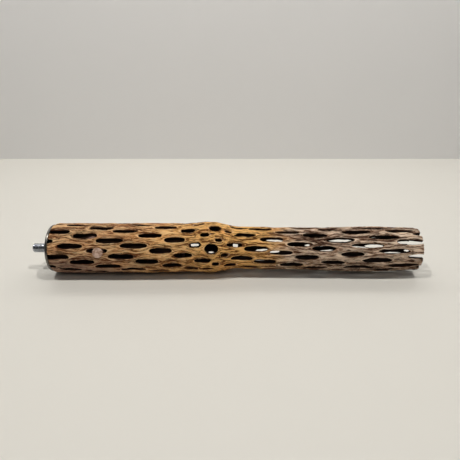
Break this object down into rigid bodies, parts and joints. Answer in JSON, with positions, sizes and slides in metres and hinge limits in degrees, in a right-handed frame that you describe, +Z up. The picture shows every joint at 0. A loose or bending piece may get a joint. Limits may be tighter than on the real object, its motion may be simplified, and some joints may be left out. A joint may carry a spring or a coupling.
{
  "type": "cholla cactus skeleton perch",
  "caption": "Length of woody, net-like cactus stem made into a perch, with a threaded stud, a washer and a cross dowel at one end.",
  "frame": {"origin": "middle of the underside, on the surface that the stem lies on", "axes": "+X along the stem from the stud end to the open end, +Z up"},
  "size_m": [0.3422, 0.0468, 0.045],
  "materials": {
    "aged_wood": "dry, weathered, open grain",
    "plug_wood": "dry, rough",
    "dowel_wood": "sanded end grain",
    "washer_steel": "plain, slightly dull",
    "stud_steel": "bright zinc plating"
  },
  "bodies": {
    "root": {"cholla_skeleton": "aged_wood", "core_plug": "plug_wood", "cross_dowel": "dowel_wood", "end_washer": "washer_steel", "mounting_stud": "stud_steel"}
  },
  "joints": []
}
